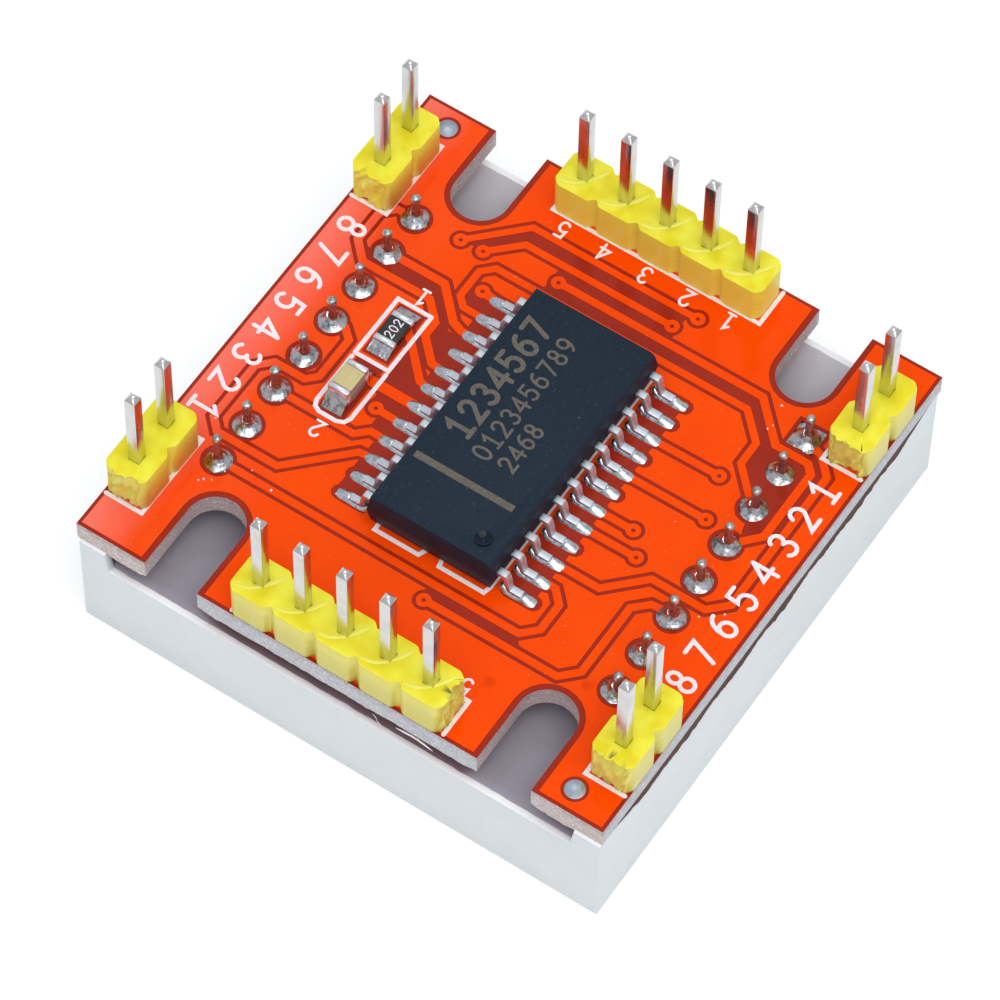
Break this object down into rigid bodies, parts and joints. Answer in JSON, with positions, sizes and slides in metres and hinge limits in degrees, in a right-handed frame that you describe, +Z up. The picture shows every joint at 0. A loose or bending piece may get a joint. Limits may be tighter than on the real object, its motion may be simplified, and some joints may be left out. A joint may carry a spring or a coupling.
{
  "type": "led dot matrix",
  "caption": "Square LED dot matrix lying face down, with a driver board on its pins: a surface-mount driver chip, pin headers on all edges and open slots near the corners",
  "frame": {"origin": "centre of the box, on the LED face that the part lies on", "axes": "+Z up out of the driver board's component side, X along the front header row, +Y to the back edge"},
  "size_m": [0.0316, 0.032, 0.0165],
  "materials": {
    "white_housing": "moulded, satin",
    "lens_resin": "cast, glossy",
    "led_chip": "sawn crystal",
    "inner_laminate": "pressed laminate",
    "grey_resin": "cast, satin",
    "board_laminate": "glossy orange solder mask over copper, rough sawn edge",
    "chip_moulding": "moulded epoxy, fine spark-eroded grain",
    "tinned_lead": "tin plated",
    "solder": "reflowed, bright with wrinkles",
    "tinned_wire": "dipped in solder",
    "bright_post": "plated, mirror bright",
    "yellow_plastic": "moulded, translucent at the edges",
    "end_cap": "tin plated",
    "resistor_glaze": "glazed",
    "capacitor_ceramic": "sintered"
  },
  "bodies": {
    "root": {"back_header": "yellow_plastic", "back_header_pin_1": "bright_post", "back_header_pin_2": "bright_post", "back_header_pin_3": "bright_post", "back_header_pin_4": "bright_post", "back_header_pin_5": "bright_post", "capacitor_body": "capacitor_ceramic", "capacitor_end_caps": "end_cap", "display_pin_left_1": "tinned_wire", "display_pin_left_2": "tinned_wire", "display_pin_left_3": "tinned_wire", "display_pin_left_4": "tinned_wire", "display_pin_left_5": "tinned_wire", "display_pin_left_6": "tinned_wire", "display_pin_left_7": "tinned_wire", "display_pin_left_8": "tinned_wire", "display_pin_right_1": "tinned_wire", "display_pin_right_2": "tinned_wire", "display_pin_right_3": "tinned_wire", "display_pin_right_4": "tinned_wire", "display_pin_right_5": "tinned_wire", "display_pin_right_6": "tinned_wire", "display_pin_right_7": "tinned_wire", "display_pin_right_8": "tinned_wire", "display_pin_solder": "solder", "dot_lenses": "lens_resin", "driver_board": "board_laminate", "driver_chip_body": "chip_moulding", "driver_chip_leads_left": "tinned_lead", "driver_chip_leads_right": "tinned_lead", "front_header": "yellow_plastic", "front_header_pin_1": "bright_post", "front_header_pin_2": "bright_post", "front_header_pin_3": "bright_post", "front_header_pin_4": "bright_post", "front_header_pin_5": "bright_post", "header_pin_solder": "solder", "lead_solder_left": "solder", "lead_solder_right": "solder", "led_board": "inner_laminate", "led_chips": "led_chip", "left_back_header": "yellow_plastic", "left_back_header_pin_1": "bright_post", "left_back_header_pin_2": "bright_post", "left_front_header": "yellow_plastic", "left_front_header_pin_1": "bright_post", "left_front_header_pin_2": "bright_post", "matrix_housing": "white_housing", "passive_solder": "solder", "potting_resin": "grey_resin", "resistor_body": "resistor_glaze", "resistor_end_caps": "end_cap", "right_back_header": "yellow_plastic", "right_back_header_pin_1": "bright_post", "right_back_header_pin_2": "bright_post", "right_front_header": "yellow_plastic", "right_front_header_pin_1": "bright_post", "right_front_header_pin_2": "bright_post"}
  },
  "joints": []
}
